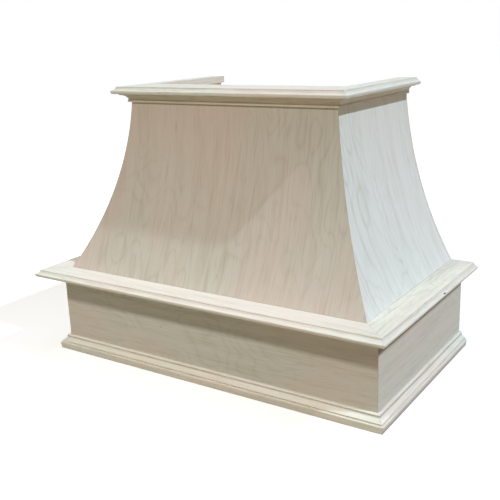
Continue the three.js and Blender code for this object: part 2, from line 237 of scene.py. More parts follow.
def new_material(name):
    """Makes an empty material and returns its node tree."""
    if name in bpy.data.materials:
        raise ValueError(f"a material is called {name} already")
    material = bpy.data.materials.new(name)
    material.use_nodes = True
    material.node_tree.nodes.clear()
    return material.node_tree


def finish_material(tree, base, roughness, height, depth, **values):
    """Ends a material in its shader, with a relief of this depth in metres."""
    relief = add_node(tree, "ShaderNodeBump", {"Height": height, "Distance": depth})
    inputs = {"Base Color": base, "Roughness": roughness, "Normal": relief, **values}
    shader = add_node(tree, "ShaderNodeBsdfPrincipled", inputs)
    add_node(tree, "ShaderNodeOutputMaterial", {"Surface": shader})


def shaded(rgb, share):
    """A colour darkened to this share of its light."""
    return tuple(channel * share for channel in rgb)


# What shows in wood: (size along the grain, size across it, detail). The fibres and flecks are drawn at
# two to three times their real width, because finer ones are lost in the render.
WOOD_FEATURES = {
    "drift": (0.50, 0.26, 2.0),
    "figure": (0.26, 0.10, 1.0),
    "band": (0.40, 0.014, 2.0),
    "fibre": (0.070, 0.0028, 3.0),
    "fleck": (0.010, 0.0016, 1.0),
}
SWAY_RATE = (2.5, 9.0, 9.0)  # how often the grain wanders, per metre along, across and through
SWAY = (0.0, 0.018, 0.010)  # how far it wanders
RING_COUNT = 27.0  # growth rings that the figure's noise is cut into
RING_SHARPNESS = 3.5
BAND_SHARE, FIBRE_SHARE = 0.30, 0.55  # how much the bands and fibres darken, beside the growth rings
GRAIN_RANGE = {"From Min": 0.34, "From Max": 0.71}  # sums of the three that give light and dark wood
DRIFT_RANGE = {"From Min": 0.35, "From Max": 0.65}
FLECK_RANGE = {"From Min": 0.66, "From Max": 0.76, "To Max": 0.20}
FLECK_SHADE = 0.6  # a fleck's colour, as a share of the dark wood's
MARK_RANGE = {"From Min": 1.0, "From Max": 0.2}  # a mark fades in between these shares of its size
ROUGHNESS_SPREAD = 0.07
FIBRE_RELIEF = 0.12 * MM


def grain_noises(tree, board):
    """The noise behind each of the wood's features, along a grain that wanders a little."""
    slow = add_node(tree, "ShaderNodeVectorMath", [board, SWAY_RATE], operation="MULTIPLY")
    wander = add_node(tree, "ShaderNodeTexNoise", {"Vector": slow, "Scale": 1.0, "Detail": 1.0})
    sway = add_node(
        tree, "ShaderNodeVectorMath", [wander.outputs["Color"], SWAY, board], operation="MULTIPLY_ADD"
    )
    found = {}
    for label, (along, across, detail) in WOOD_FEATURES.items():
        scale = (1 / along, 1 / across, 1 / across)
        scaled = add_node(tree, "ShaderNodeVectorMath", [sway, scale], operation="MULTIPLY")
        found[label] = add_node(
            tree, "ShaderNodeTexNoise", {"Vector": scaled, "Scale": 1.0, "Detail": detail}
        )
    return found


def add_mark(tree, board, base, centre, size, strength, mark_and_shade_colour):
    """Lays one soft oval mark, a stain or a line of painted shade, over the wood and returns the new colour.
    """
    near = add_node(tree, "ShaderNodeVectorMath", [board, centre], operation="SUBTRACT")
    rate = tuple(1 / extent for extent in size)
    shape = add_node(tree, "ShaderNodeVectorMath", [near, rate], operation="MULTIPLY")
    distance = add_node(tree, "ShaderNodeVectorMath", [shape], operation="LENGTH").outputs["Value"]
    stain = add_node(
        tree, "ShaderNodeMapRange", {"Value": distance, "To Max": strength, **MARK_RANGE},
        interpolation_type="SMOOTHSTEP",
    )
    return add_node(tree, "ShaderNodeMix", {FACTOR: stain, UNDER: base, OVER: mark_and_shade_colour}, data_type="RGBA")


def wood(name, light, dark, drifts, rings, roughness, marks, mark_and_shade_colour):
    """Sanded raw wood without a finish: pale, matt, with faint growth rings, fibres and short flecks."""
    tree = new_material(name)
    board = add_node(tree, "ShaderNodeAttribute", attribute_name=BOARD).outputs["Vector"]
    found = grain_noises(tree, board)
    folds = add_node(tree, "ShaderNodeMath", [found["figure"], RING_COUNT], operation="MULTIPLY")
    fold = add_node(tree, "ShaderNodeMath", [folds, 1.0], operation="PINGPONG")
    line = add_node(tree, "ShaderNodeMath", [fold, RING_SHARPNESS], operation="POWER")
    warmth = add_node(
        tree, "ShaderNodeMapRange", {"Value": found["drift"], **DRIFT_RANGE},
        interpolation_type="SMOOTHSTEP",
    )
    fading = add_node(tree, "ShaderNodeMath", [line, warmth], operation="MULTIPLY")
    shares = add_node(tree, "ShaderNodeMath", [fading, rings], operation="MULTIPLY")
    for label, share in (("band", BAND_SHARE), ("fibre", FIBRE_SHARE)):
        shares = add_node(tree, "ShaderNodeMath", [found[label], share, shares], operation="MULTIPLY_ADD")
    grain = add_node(
        tree, "ShaderNodeMapRange", {"Value": shares, **GRAIN_RANGE}, interpolation_type="SMOOTHSTEP"
    )
    base = add_node(tree, "ShaderNodeMix", {FACTOR: grain, UNDER: light, OVER: dark}, data_type="RGBA")
    tint = add_node(
        tree, "ShaderNodeMix", {FACTOR: warmth, UNDER: drifts[0], OVER: drifts[1]}, data_type="RGBA"
    )
    base = add_node(
        tree, "ShaderNodeMix", {FACTOR: 1.0, UNDER: base, OVER: tint},
        data_type="RGBA", blend_type="MULTIPLY",
    )
    dash = add_node(
        tree, "ShaderNodeMapRange", {"Value": found["fleck"], **FLECK_RANGE},
        interpolation_type="SMOOTHSTEP",
    )
    fleck = shaded(dark, FLECK_SHADE)
    base = add_node(tree, "ShaderNodeMix", {FACTOR: dash, UNDER: base, OVER: fleck}, data_type="RGBA")
    for centre, size, strength in marks:
        base = add_mark(tree, board, base, centre, size, strength, mark_and_shade_colour)
    matt = add_node(
        tree, "ShaderNodeMapRange",
        {"Value": found["band"], "To Min": roughness - ROUGHNESS_SPREAD,
         "To Max": roughness + ROUGHNESS_SPREAD},
    )
    finish_material(tree, base, matt, found["fibre"], FIBRE_RELIEF)


SAWN_ROUGHNESS = 0.8
END_RING_SCALE = 90.0  # gives growth rings 3.5 mm apart
END_RING_WOBBLE = {"Distortion": 3.0, "Detail": 2.0, "Detail Scale": 0.6}
END_RING_SHARE = 0.5
END_GRAIN_RANGE = {"From Min": 0.35, "From Max": 1.2}
PORE_RATE = 1500.0  # pores per metre
PORE_RELIEF = 0.15 * MM


def end_grain(name, light, dark):
    """Sawn end grain: darker than the faces, dull, with rings and fine pores."""
    tree = new_material(name)
    board = add_node(tree, "ShaderNodeAttribute", attribute_name=BOARD).outputs["Vector"]
    rings = add_node(
        tree, "ShaderNodeTexWave", {"Vector": board, "Scale": END_RING_SCALE, **END_RING_WOBBLE},
        wave_type="RINGS", rings_direction="X",
    ).outputs["Fac"]
    pores = add_node(tree, "ShaderNodeTexNoise", {"Vector": board, "Scale": PORE_RATE, "Detail": 1.0})
    shares = add_node(tree, "ShaderNodeMath", [rings, END_RING_SHARE, pores], operation="MULTIPLY_ADD")
    grain = add_node(
        tree, "ShaderNodeMapRange", {"Value": shares, **END_GRAIN_RANGE}, interpolation_type="SMOOTHSTEP"
    )
    base = add_node(tree, "ShaderNodeMix", {FACTOR: grain, UNDER: light, OVER: dark}, data_type="RGBA")
    finish_material(tree, base, SAWN_ROUGHNESS, pores, PORE_RELIEF)


SAW_RATE = (60, 300, 900)  # marks of the saw, per metre along the ply, across it and through the board
SAW_SHARE = 0.6
END_PLY_SHARE = 0.6  # how much darker the end-grain plies are
# A glue line starts and is full at these shares of a ply, from its middle.
GLUE_RANGE = {"From Min": 0.42, "From Max": 0.48, "To Max": 0.7}
SAW_RELIEF = 0.2 * MM


def ply_edge(name, light, dark, glue, ply):
    """Sawn plywood edge: long-grain and end-grain plies in turn, with a dark glue line between them."""
    tree = new_material(name)
    board = add_node(tree, "ShaderNodeAttribute", attribute_name=BOARD).outputs["Vector"]
    through = add_node(tree, "ShaderNodeSeparateXYZ", [board]).outputs["Z"]
    layer = add_node(tree, "ShaderNodeMath", [through, ply], operation="DIVIDE")
    phase = add_node(tree, "ShaderNodeMath", [layer, 1.0], operation="PINGPONG")
    turn = add_node(tree, "ShaderNodeMath", [layer, 2.0], operation="FLOORED_MODULO")
    crossed = add_node(tree, "ShaderNodeMath", [turn, 1.0], operation="GREATER_THAN")
    stretch = add_node(tree, "ShaderNodeVectorMath", [board, SAW_RATE], operation="MULTIPLY")
    saw = add_node(tree, "ShaderNodeTexNoise", {"Vector": stretch, "Scale": 1.0, "Detail": 3.0})
    darker = add_node(tree, "ShaderNodeMath", [crossed, END_PLY_SHARE], operation="MULTIPLY")
    shares = add_node(tree, "ShaderNodeMath", [saw, SAW_SHARE, darker], operation="MULTIPLY_ADD")
    base = add_node(tree, "ShaderNodeMix", {FACTOR: shares, UNDER: light, OVER: dark}, data_type="RGBA")
    fold = add_node(tree, "ShaderNodeMath", [phase, 0.5], operation="SUBTRACT")
    reach = add_node(tree, "ShaderNodeMath", [fold], operation="ABSOLUTE")
    line = add_node(tree, "ShaderNodeMapRange", {"Value": reach, **GLUE_RANGE})
    base = add_node(tree, "ShaderNodeMix", {FACTOR: line, UNDER: base, OVER: glue}, data_type="RGBA")
    finish_material(tree, base, SAWN_ROUGHNESS, saw, SAW_RELIEF)


SPECK_SPREAD = 0.1  # how far the specks' roughness lies from the mean
SPECK_RELIEF = 0.03 * MM


def speckled(name, base_colour, dark_colour, speck, roughness, **values):
    """A small part's finish: one colour broken by specks of this size."""
    tree = new_material(name)
    spot = add_node(tree, "ShaderNodeTexCoord").outputs["Object"]
    specks = add_node(tree, "ShaderNodeTexNoise", {"Vector": spot, "Scale": 1 / speck, "Detail": 2.0})
    base = add_node(
        tree, "ShaderNodeMix", {FACTOR: specks, UNDER: base_colour, OVER: dark_colour}, data_type="RGBA"
    )
    matt = add_node(
        tree, "ShaderNodeMapRange",
        {"Value": specks, "To Min": roughness - SPECK_SPREAD, "To Max": roughness + SPECK_SPREAD},
    )
    finish_material(tree, base, matt, specks, SPECK_RELIEF, **values)


# Marks on the boards: (board, place along and across its grain, size in all three directions, strength).
VENEER_MARKS = (
    ("front_panel", (-0.1449, -0.1502), (0.0215, 0.0017, 0.02), 0.55),
    ("front_panel", (-0.4956, 0.0319), (0.0100, 0.0035, 0.02), 0.20),
)
MAPLE_MARKS = (("front_ledge", (-0.0100, -0.2691), (0.0060, 0.0022, 0.02), 0.30),)

# A mark longer than its board is a line along all of it. These are painted shade: the right ledge's shadow
# along the top of the right apron, shade over the fascia of the right base moulding, and shade in the steps
# and quirks of two base mouldings.
WHOLE_BOARD = 3.0
GROOVE_SHADE = (WHOLE_BOARD, 0.0026, 0.20)
STEP_UP, QUIRK_UP = 0.0200, 0.0308  # heights on the base moulding
APRON_MARKS = (
    ("front_apron", (-0.1299, 0.1192), (0.0050, 0.0030, 0.02), 0.35),
    # Painted shadow of the right ledge's nose, along the top of the right apron.
    ("right_apron", (0.0, 0.1780), (WHOLE_BOARD, 0.0185, 0.02), 0.92),
)
# Painted shade: darker over the right fascia, and thin dark lines in the step and quirk of the right base
# moulding, strong, and of the front one, faint.
BASE_PAINTED_SHADE = (
    ("right_base_mould", (0.0, 0.0020), (WHOLE_BOARD, 0.0140, 0.02), 0.52),
    ("right_base_mould", (0.0, STEP_UP), GROOVE_SHADE, 0.32),
    ("right_base_mould", (0.0, QUIRK_UP), GROOVE_SHADE, 0.45),
    ("front_base_mould", (0.0, STEP_UP), GROOVE_SHADE, 0.12),
    ("front_base_mould", (0.0, QUIRK_UP), GROOVE_SHADE, 0.12),
)

VENEER_ROUGHNESS, SOLID_ROUGHNESS, PLY_ROUGHNESS = 0.62, 0.50, 0.70

# Woods: (finish, its colours, share of the drifts, strength of the growth rings, roughness, marks). Sanded
# veneer is matt, sanded solid maple has a dull sheen, and the frame's plywood is the roughest and yellower.
WOODS = (
    ("maple_veneer_tan", "tan", 1.0, 0.10, VENEER_ROUGHNESS, APRON_MARKS),
    ("maple_veneer_rosy", "rosy", 1.0, 0.16, VENEER_ROUGHNESS, VENEER_MARKS),
    ("maple_veneer_pale", "pale", 0.25, 0.15, VENEER_ROUGHNESS, ()),
    ("sanded_maple", "maple", 1.0, 0.10, SOLID_ROUGHNESS, MAPLE_MARKS),
    ("sanded_maple_pale", "base", 1.0, 0.08, SOLID_ROUGHNESS, BASE_PAINTED_SHADE),
    # The coves' darker, browner maple is painted shade under the caps.
    ("sanded_maple_warm", "warm", 1.0, 0.10, SOLID_ROUGHNESS, ()),
    ("birch_ply_face", "ply", 0.0, 0.14, PLY_ROUGHNESS, ()),
)
END_GRAIN_SHADE = 0.72
PLIES = (("birch_ply_edge", 1.38 * MM), ("bending_ply_edge", 1.8 * MM))  # with the thickness of one ply

# Fixings: (finish, its colour, shade of the specks, size of a speck, roughness, more values). Zinc plating
# is a dull silver with faint blotches, filler dries chalky, and the open hole is dark, torn fibre.
FIXING_FINISHES = (
    ("zinc_plated_steel", "zinc", 0.7, 0.6 * MM, 0.38, {"Metallic": 1.0}),
    ("wood_filler", "filler", 0.88, 0.5 * MM, 0.85, {}),
    ("nail_hole", "nail_head", 0.6, 0.5 * MM, 0.8, {}),
)


def placed_marks(marks):
    """The marks with their places in their boards' patterns."""
    return [
        (board_shift(node) + Vector((*spot, 0)), size, strength) for node, spot, size, strength in marks
    ]


def make_materials(colours):
    """Makes every finish, each under its own name."""
    for name, tone, drift, rings, roughness, marks in WOODS:
        light, dark = getattr(colours, f"{tone}_light"), getattr(colours, f"{tone}_dark")
        drifts = [
            [1 - drift * (1 - channel) for channel in tint]
            for tint in (colours.pink_drift, colours.green_drift)
        ]
        wood(name, light, dark, drifts, rings, roughness, placed_marks(marks), colours.mineral_and_shade)
    end_grain("maple_end_grain", colours.maple_dark, shaded(colours.maple_dark, END_GRAIN_SHADE))
    for name, ply in PLIES:
        ply_edge(name, colours.ply_light, colours.ply_dark, colours.glue_line, ply)
    for name, tone, shade, speck, roughness, values in FIXING_FINISHES:
        tint = getattr(colours, tone)
        speckled(name, tint, shaded(tint, shade), speck, roughness, **values)


# ---- Boards -----------------------------------------------------------------------------------------

# Every board's pattern starts somewhere else, so that no two are alike.
PATTERN_STEP = Vector((1.37, 0.61, 0))


def board_shift(node):
    """Where a board's pattern starts, from its place in the list of CAD parts."""
    return sorted(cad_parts).index(node) * PATTERN_STEP


def hood_sizes():
    """The sizes as they are set now."""
    return bpy.context.scene.hood_sizes


SIDES = ("front", "left", "right")
HANDS = ("left", "right")
OUTWARD = {"front": -Y, "left": -X, "right": X}
RUN = {"front": X, "left": Y, "right": Y}

MITRE = math.sqrt(0.5)  # share of the gap across a mitre that each board gives, along its own length
SHARP_ANGLE = math.radians(30)  # a sharper corner than this is an edge
FLAT_ANGLE = math.radians(0.2)  # faces that turn less than this are one face
WELD = 0.005 * MM
FACING_SHARE = 0.6  # a face looks along a direction when its normal has more of it than this

# How a board is made up: the finishes of its outer face, inner face, long edges and ends, and its slot.
OUTER, INNER, EDGE, END = range(4)
MAKES = {
    "veneered": (("maple_veneer_tan", "birch_ply_face", "birch_ply_edge", "birch_ply_edge"), "maple_veneer"),
    "plywood": (("birch_ply_face", "birch_ply_face", "birch_ply_edge", "birch_ply_edge"), "frame_plywood"),
    "solid": (("sanded_maple",) * 3 + ("maple_end_grain",), "solid_maple"),
    "warm": (("sanded_maple_warm",) * 3 + ("maple_end_grain",), "solid_maple"),
    "base": (("sanded_maple_pale",) * 3 + ("maple_end_grain",), "solid_maple"),
}


def ease_edges(piece):
    """Sanding takes the sharpness off every corner."""
    easing = piece.modifiers.new("eased edges", "BEVEL")
    easing.width = hood_sizes().eased_edge
    easing.segments = 2
    easing.limit_method = "ANGLE"
    easing.angle_limit = SHARP_ANGLE
    easing.harden_normals = True


def hand_over(piece, slot, *nodes):
    """Gives the piece to the frame, in place of these CAD parts."""
    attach(piece, "root")
    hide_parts(*nodes)


def dress(node, grain, outward, make):
    """Makes the finished copy of a CAD part. Grain and outward are the board's directions."""
    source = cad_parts[node].data
    copy = bpy.data.meshes.new(f"{node}_copy")
    copy.from_pydata([v.co for v in source.vertices], [], [p.vertices for p in source.polygons])
    shell = bmesh.new()
    shell.from_mesh(copy)
    bpy.data.meshes.remove(copy)
    bmesh.ops.remove_doubles(shell, verts=shell.verts, dist=WELD)
    bmesh.ops.dissolve_limit(shell, angle_limit=FLAT_ANGLE, verts=shell.verts, edges=shell.edges)
    piece, slot = make_board(node, shell, grain, outward, make)
    ease_edges(piece)
    hand_over(piece, slot, node)


def pairs_round(loop):
    """Each corner of a closed loop with the next one."""
    return zip(loop, loop[1:] + loop[:1])


def skin_between(shell, lower, upper):
    """Joins two loops of corners by a band of faces."""
    for (low, low_next), (high, high_next) in zip(pairs_round(lower), pairs_round(upper)):
        shell.faces.new((low, low_next, high_next, high))


def make_board(node, shell, grain, outward, make):
    """Turns a shell into a wooden piece, with the finish of each face and the board's pattern."""
    names, slot = MAKES[make]
    across = outward.cross(grain)
    shift = board_shift(node)
    surface = max(vert.co.dot(outward) for vert in shell.verts)
    layer = shell.verts.layers.float_vector.new(BOARD)
    for vert in shell.verts:
        depth = surface - vert.co.dot(outward)
        vert[layer] = Vector((vert.co.dot(grain), vert.co.dot(across), depth)) + shift
    for face in shell.faces:
        face.smooth = True
        if abs(face.normal.dot(grain)) > FACING_SHARE:
            face.material_index = END
        elif abs(face.normal.dot(outward)) < FACING_SHARE:
            face.material_index = EDGE
        else:
            face.material_index = OUTER if face.normal.dot(outward) > 0 else INNER
    mesh = bpy.data.meshes.new(f"{node}_finished")
    for name in names:
        mesh.materials.append(bpy.data.materials[name])
    shell.to_mesh(mesh)
    shell.free()
    piece = bpy.data.objects.new(f"{node}_finished", mesh)
    bpy.context.collection.objects.link(piece)
    return piece, slot


# ---- Mouldings --------------------------------------------------------------------------------------

# A section is a list of points in metres, out from the furthest edge and up from the underside. Each
# corner keeps the fine steps and rounds that the cutter leaves.
HOLLOW_STEPS = 8
NOSE_QUIRK = (-0.3 * MM, -0.2 * MM)  # from the end of a nose's bead to the foot of its hollow
NOSE_HOLLOW = 1.2 * MM  # depth of the hollow in a nose
STEP_BACK = 2.2 * MM  # foot of the base moulding's step, behind the end of the fascia's round
STEP_LEAN = 1.4 * MM  # how far the step leans out at its top
BASE_HOLLOW = 1.1 * MM
BASE_QUIRK = (-2.4 * MM, -0.8 * MM)  # from the top of the hollow to the bottom of the quirk
BASE_BEAD_OUT = 0.4 * MM  # middle of the top bead, in front of the quirk


def moved(point, step):
    """A section's point, moved out and up."""
    return (point[0] + step[0], point[1] + step[1])


def arc(centre, radii, start, end, steps):
    """Points of an oval's arc between two angles in degrees."""
    turns = [math.radians(start + (end - start) * step / steps) for step in range(steps + 1)]
    return [(centre[0] + radii[0] * math.cos(t), centre[1] + radii[1] * math.sin(t)) for t in turns]


def hollow(start, end, depth):
    """Points of a shallow hollow between two points, without its ends. It bulges into the wood."""
    chord = Vector(end) - Vector(start)
    inward = Vector((-chord.y, chord.x)).normalized()
    points = []
    for step in range(1, HOLLOW_STEPS):
        share = step / HOLLOW_STEPS
        points.append(tuple(Vector(start) + share * chord + depth * (1 - (2 * share - 1) ** 2) * inward))
    return points


def nose_section(sizes, width, thickness):
    """A ledge or cap board: undercut, bead, hollow, and a small step under the top edge."""
    radius, height = sizes.bead_round, sizes.bead_height
    under = arc((-sizes.undercut, height), (sizes.undercut, height), start=-90, end=0, steps=8)
    bead = arc((-radius, height), (radius, radius), start=15, end=110, steps=7)
    hollow_foot = moved(bead[-1], NOSE_QUIRK)
    top_foot = (-sizes.nose_depth, thickness - sizes.nose_step)
    curve = hollow(hollow_foot, top_foot, NOSE_HOLLOW)
    top = [(-sizes.nose_depth, thickness), (-width, thickness)]
    return [(-width, 0.0), *under, *bead, hollow_foot, *curve, top_foot, *top]


def base_section(sizes, width):
    """The base moulding: leaning fascia, round, step, hollow, quirk, and a bead along the top."""
    fascia, rounding, bead = sizes.fascia_height, sizes.fascia_round, sizes.base_bead
    foot = [(-width, 0.0), (-sizes.fascia_lean, 0.0)]
    shelf = arc((-rounding, fascia), (rounding, rounding), start=0, end=95, steps=7)
    step_foot = moved(shelf[-1], (-STEP_BACK, 0.0))
    hollow_foot = (step_foot[0] + STEP_LEAN, fascia + rounding + sizes.fascia_step)
    hollow_top = moved(hollow_foot, (-sizes.hollow_depth, sizes.hollow_height))
    curve = hollow(hollow_foot, hollow_top, BASE_HOLLOW)
    quirk = moved(hollow_top, BASE_QUIRK)
    bead_centre = (quirk[0] + BASE_BEAD_OUT, hollow_top[1] + bead)
    crown = arc(bead_centre, (bead, bead), start=-75, end=90, steps=9)
    back = (-width, crown[-1][1])
    return [*foot, *shelf, step_foot, hollow_foot, *curve, hollow_top, quirk, *crown, back]


def mould(node, side, section, outward, make):
    """Runs a section along one side of the cover, in place of a CAD part, with mitres at the front."""
    low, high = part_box(node)
    front_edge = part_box(node.replace(side, "front"))[0].y
    right_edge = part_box(node.replace(side, "right"))[1].x
    pull = hood_sizes().mould_fit * MITRE
    shell = bmesh.new()
    ends = []
    for end in (-1, 1):
        loop = []
        for out, up in section:
            if side == "front":
                corner = (end * (right_edge + out - pull), front_edge - out, low.z + up)
            else:
                deep = high.y if end > 0 else front_edge - out + pull
                corner = (OUTWARD[side].x * (right_edge + out), deep, low.z + up)
            loop.append(shell.verts.new(corner))
        ends.append(loop)
        shell.faces.new(loop)
    skin_between(shell, *ends)
    bmesh.ops.recalc_face_normals(shell, faces=shell.faces)
    piece, slot = make_board(node, shell, RUN[side], outward, make)
    piece.data.set_sharp_from_angle(angle=SHARP_ANGLE)
    hand_over(piece, slot, node)


class HOOD_OT_apron(bpy.types.Operator):
    """Finish the apron boards, their base moulding, and the ledgers, blocks and rail inside"""

    bl_idname = "hood.apron"
    bl_label = "Apron"

    def execute(self, context):
        low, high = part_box("front_base_mould")
        section = base_section(hood_sizes(), high.y - low.y)
        for side in SIDES:
            dress(f"{side}_apron", RUN[side], OUTWARD[side], "veneered")
            mould(f"{side}_base_mould", side, section, OUTWARD[side], "base")
            dress(f"{side}_ledger", RUN[side], -OUTWARD[side], "plywood")
        for side in HANDS:
            dress(f"{side}_corner_block", Z, -OUTWARD[side], "plywood")
        dress("rear_ledger", X, Y, "plywood")
        dress("lower_wall_rail", X, Y, "plywood")
        return {"FINISHED"}


class HOOD_OT_ledge(bpy.types.Operator):
    """Finish the mitred ledge boards"""

    bl_idname = "hood.ledge"
    bl_label = "Ledge"

    def execute(self, context):
        low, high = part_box("front_ledge")
        section = nose_section(hood_sizes(), high.y - low.y, high.z - low.z)
        for side in SIDES:
            mould(f"{side}_ledge", side, section, Z, "solid")
        return {"FINISHED"}


# ---- Bell panels ------------------------------------------------------------------------------------

CUBE = {"From Min": -0.5, "From Max": 0.5}  # corners of the cube that a panel is bent from

# A tree's inputs, by the kind of their sockets.
PANEL_INPUTS = {
    "NodeSocketFloat": (
        "Half Width", "Depth", "Low", "High", "Skin", "Radius", "Centre Out", "Centre Up", "Mitre Pull",
        "Wall Gap", "Hand",
    ),
    "NodeSocketBool": ("Front",),
    "NodeSocketInt": ("Rows",),
    "NodeSocketVector": ("Origin", "Pattern"),
    "NodeSocketMaterial": ("Face", "Edge", "Back"),
}


def new_geometry_tree(name, inputs):
    """An empty Geometry Nodes tree with these named inputs, and its input node's sockets."""
    tree = bpy.data.node_groups.new(name, "GeometryNodeTree")
    for kind, labels in inputs.items():
        for label in labels:
            tree.interface.new_socket(label, in_out="INPUT", socket_type=kind)
    tree.interface.new_socket("Geometry", in_out="OUTPUT", socket_type="NodeSocketGeometry")
    return tree, add_node(tree, "NodeGroupInput").outputs


def grow(name, tree, values):
    """Runs a tree with these inputs and returns its result as a plain mesh object."""
    seed = bpy.data.objects.new(f"{name}_seed", bpy.data.meshes.new(f"{name}_seed"))
    bpy.context.collection.objects.link(seed)
    modifier = seed.modifiers.new("rule", "NODES")
    modifier.node_group = tree
    for item in tree.interface.items_tree:
        if item.in_out == "INPUT" and item.name in values:
            modifier[item.identifier] = values[item.name]
    evaluated = seed.evaluated_get(bpy.context.evaluated_depsgraph_get())
    result = bpy.data.meshes.new_from_object(evaluated)
    seed.modifiers.remove(modifier)
    bpy.data.objects.remove(seed)
    result.name = name
    piece = bpy.data.objects.new(name, result)
    bpy.context.collection.objects.link(piece)
    return piece


def panel_tree():
    """A panel from its rule: an upright slab bent to one arc and cut to the hips' mitres."""
    tree, given = new_geometry_tree("Bell panel", PANEL_INPUTS)
    slab = add_node(tree, "GeometryNodeMeshCube", {"Vertices Z": given["Rows"]})
    spot = add_node(tree, "ShaderNodeSeparateXYZ", [add_node(tree, "GeometryNodeInputPosition")]).outputs
    up = add_node(
        tree, "ShaderNodeMapRange",
        {"Value": spot["Z"], "To Min": given["Low"], "To Max": given["High"], **CUBE},
    )
    inset = add_node(tree, "ShaderNodeMapRange", {"Value": spot["Y"], "To Max": given["Skin"], **CUBE})
    # The face lies on the arc: out = centre out - root((radius + inset)^2 - (up - centre up)^2).
    reach = add_node(tree, "ShaderNodeMath", [given["Radius"], inset], operation="ADD")
    rise = add_node(tree, "ShaderNodeMath", [up, given["Centre Up"]], operation="SUBTRACT")
    reach_squared = add_node(tree, "ShaderNodeMath", [reach, reach], operation="MULTIPLY")
    rise_squared = add_node(tree, "ShaderNodeMath", [rise, rise], operation="MULTIPLY")
    left_over = add_node(tree, "ShaderNodeMath", [reach_squared, rise_squared], operation="SUBTRACT")
    level = add_node(tree, "ShaderNodeMath", [left_over], operation="SQRT")
    out = add_node(tree, "ShaderNodeMath", [given["Centre Out"], level], operation="SUBTRACT")

    wide = add_node(tree, "ShaderNodeMath", [given["Half Width"], out], operation="ADD")
    deep = add_node(tree, "ShaderNodeMath", [given["Depth"], out], operation="ADD")
    wide_mitre = add_node(tree, "ShaderNodeMath", [wide, given["Mitre Pull"]], operation="SUBTRACT")
    deep_mitre = add_node(tree, "ShaderNodeMath", [deep, given["Mitre Pull"]], operation="SUBTRACT")
    both_ways = add_node(tree, "ShaderNodeMath", [spot["X"], 2.0], operation="MULTIPLY")
    front_x = add_node(tree, "ShaderNodeMath", [both_ways, wide_mitre], operation="MULTIPLY")
    front_y = add_node(tree, "ShaderNodeMath", [deep, -1.0], operation="MULTIPLY")
    front = add_node(tree, "ShaderNodeCombineXYZ", [front_x, front_y, up])

    # A side panel runs from its hip, where along is 0, to the wall, where it is 1.
    side_x = add_node(tree, "ShaderNodeMath", [wide, given["Hand"]], operation="MULTIPLY")
    along = add_node(tree, "ShaderNodeMath", [spot["X"], given["Hand"], 0.5], operation="MULTIPLY_ADD")
    hip_end = add_node(tree, "ShaderNodeMath", [deep_mitre, -1.0], operation="MULTIPLY")
    wall_end = add_node(tree, "ShaderNodeMath", [given["Wall Gap"], -1.0], operation="MULTIPLY")
    side_y = add_node(tree, "ShaderNodeMapRange", {"Value": along, "To Min": hip_end, "To Max": wall_end})
    side = add_node(tree, "ShaderNodeCombineXYZ", [side_x, side_y, up])

    choice = {"Switch": given["Front"], "False": side, "True": front}
    position = add_node(tree, "GeometryNodeSwitch", choice, input_type="VECTOR")
    placed = add_node(tree, "ShaderNodeVectorMath", [position, given["Origin"]], operation="ADD")

    # The grain runs up the arc, so the pattern reads the length of the arc and not the height.
    sine = add_node(tree, "ShaderNodeMath", [rise, given["Radius"]], operation="DIVIDE")
    angle = add_node(tree, "ShaderNodeMath", [sine], operation="ARCSINE")
    climb = add_node(tree, "ShaderNodeMath", [angle, given["Radius"]], operation="MULTIPLY")
    run = {"Switch": given["Front"], "False": side_y, "True": front_x}
    across = add_node(tree, "GeometryNodeSwitch", run, input_type="FLOAT")
    coordinate = add_node(tree, "ShaderNodeCombineXYZ", [climb, across, inset])
    pattern = add_node(tree, "ShaderNodeVectorMath", [coordinate, given["Pattern"]], operation="ADD")
    stored = add_node(
        tree, "GeometryNodeStoreNamedAttribute",
        {"Geometry": slab, "Name": BOARD, "Value": pattern}, data_type="FLOAT_VECTOR", domain="POINT",
    )
    bent = add_node(tree, "GeometryNodeSetPosition", {"Geometry": stored, "Position": placed})

    # A face's depth in the skin tells the outer face, the edges and the back apart.
    named = add_node(tree, "GeometryNodeInputNamedAttribute", {"Name": BOARD}, data_type="FLOAT_VECTOR")
    depth = add_node(tree, "ShaderNodeSeparateXYZ", [named]).outputs["Z"]
    share = add_node(tree, "ShaderNodeMath", [depth, given["Skin"]], operation="DIVIDE")
    real = add_node(tree, "GeometryNodeRealizeInstances", {"Geometry": bent})
    clad = add_node(tree, "GeometryNodeSetMaterial", {"Geometry": real, "Material": given["Face"]})
    for label, least in (("Edge", 1 / 4), ("Back", 3 / 4)):
        chosen = add_node(tree, "ShaderNodeMath", [share, least], operation="GREATER_THAN")
        clad = add_node(
            tree, "GeometryNodeSetMaterial",
            {"Geometry": clad, "Selection": chosen, "Material": given[label]},
        )
    add_node(tree, "NodeGroupOutput", {"Geometry": clad})
    return tree


def bell_centre(sizes):
    """The centre of the sweep, out from the crown and up from the ledge. It lies outside the hood."""
    chord = math.hypot(sizes.bell_run, sizes.bell_height)
    rise = math.sqrt(sizes.bell_radius**2 - (chord / 2) ** 2)
    out = sizes.bell_run / 2 + sizes.bell_height / chord * rise
    up = sizes.bell_height / 2 + sizes.bell_run / chord * rise
    return out, up


